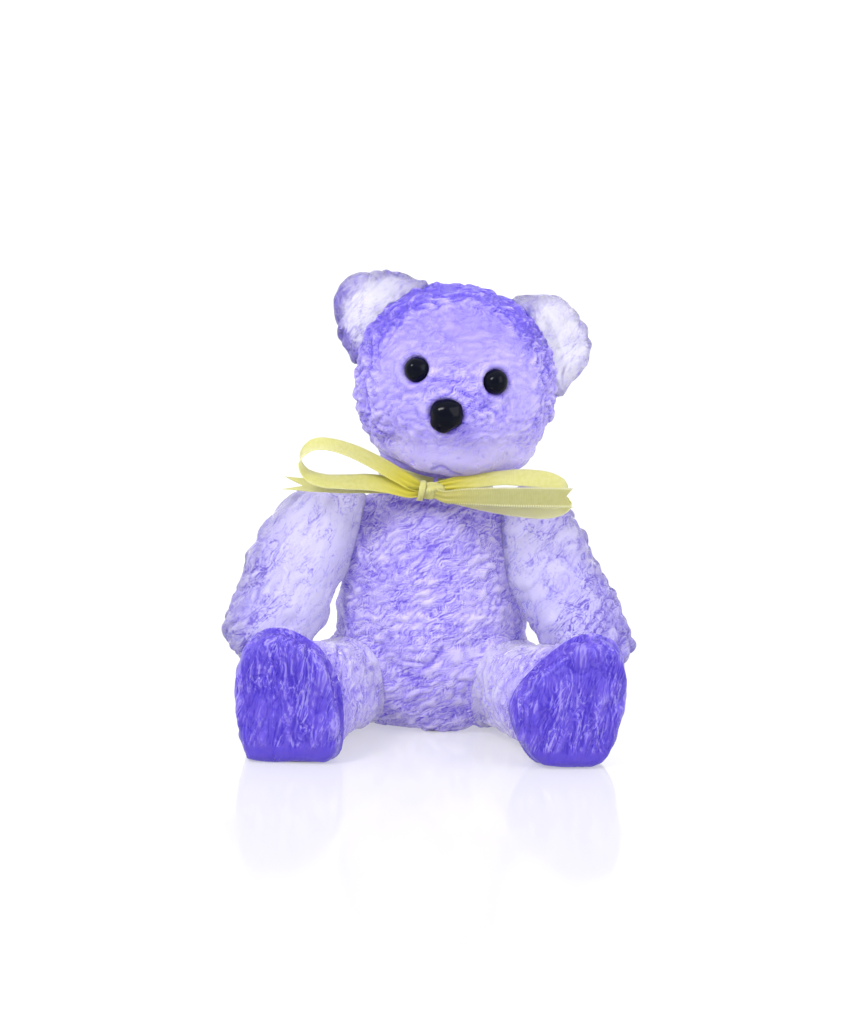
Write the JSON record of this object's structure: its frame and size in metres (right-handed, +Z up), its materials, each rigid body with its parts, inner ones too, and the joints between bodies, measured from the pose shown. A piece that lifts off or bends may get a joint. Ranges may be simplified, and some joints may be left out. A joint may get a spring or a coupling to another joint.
{
  "type": "crystal glass figurine",
  "caption": "Seated bear figurine of tinted cast crystal glass with bead eyes and nose and a tied satin ribbon bow.",
  "frame": {"origin": "centre of the bounding box in X and Y, on the surface the figurine sits on", "axes": "+Z up through the head, the bear faces -Y, +X is to the right of someone looking at its face"},
  "size_m": [0.1046, 0.0736, 0.1186],
  "materials": {
    "glass_violet": "crinkled cast surface, satin gloss",
    "glass_pale_violet": "crinkled cast surface, satin gloss",
    "glass_clear_violet": "crinkled cast surface, satin gloss",
    "glass_deep_violet": "streaked cast surface with a smooth lower edge",
    "bead_black": "glossy black",
    "ribbon_satin": "translucent yellow-green satin"
  },
  "bodies": {
    "root": {"torso": "glass_violet", "head": "glass_violet", "ear_left": "glass_clear_violet", "ear_right": "glass_clear_violet", "arm_left": "glass_pale_violet", "arm_right": "glass_pale_violet", "leg_left": "glass_pale_violet", "leg_right": "glass_pale_violet", "foot_sole_left": "glass_deep_violet", "foot_sole_right": "glass_deep_violet", "eye_left": "bead_black", "eye_right": "bead_black", "nose": "bead_black", "ribbon_neck_band": "ribbon_satin", "ribbon_knot": "ribbon_satin", "ribbon_loop_left": "ribbon_satin", "ribbon_loop_right": "ribbon_satin", "ribbon_tail_left": "ribbon_satin", "ribbon_tail_right": "ribbon_satin"}
  },
  "joints": []
}
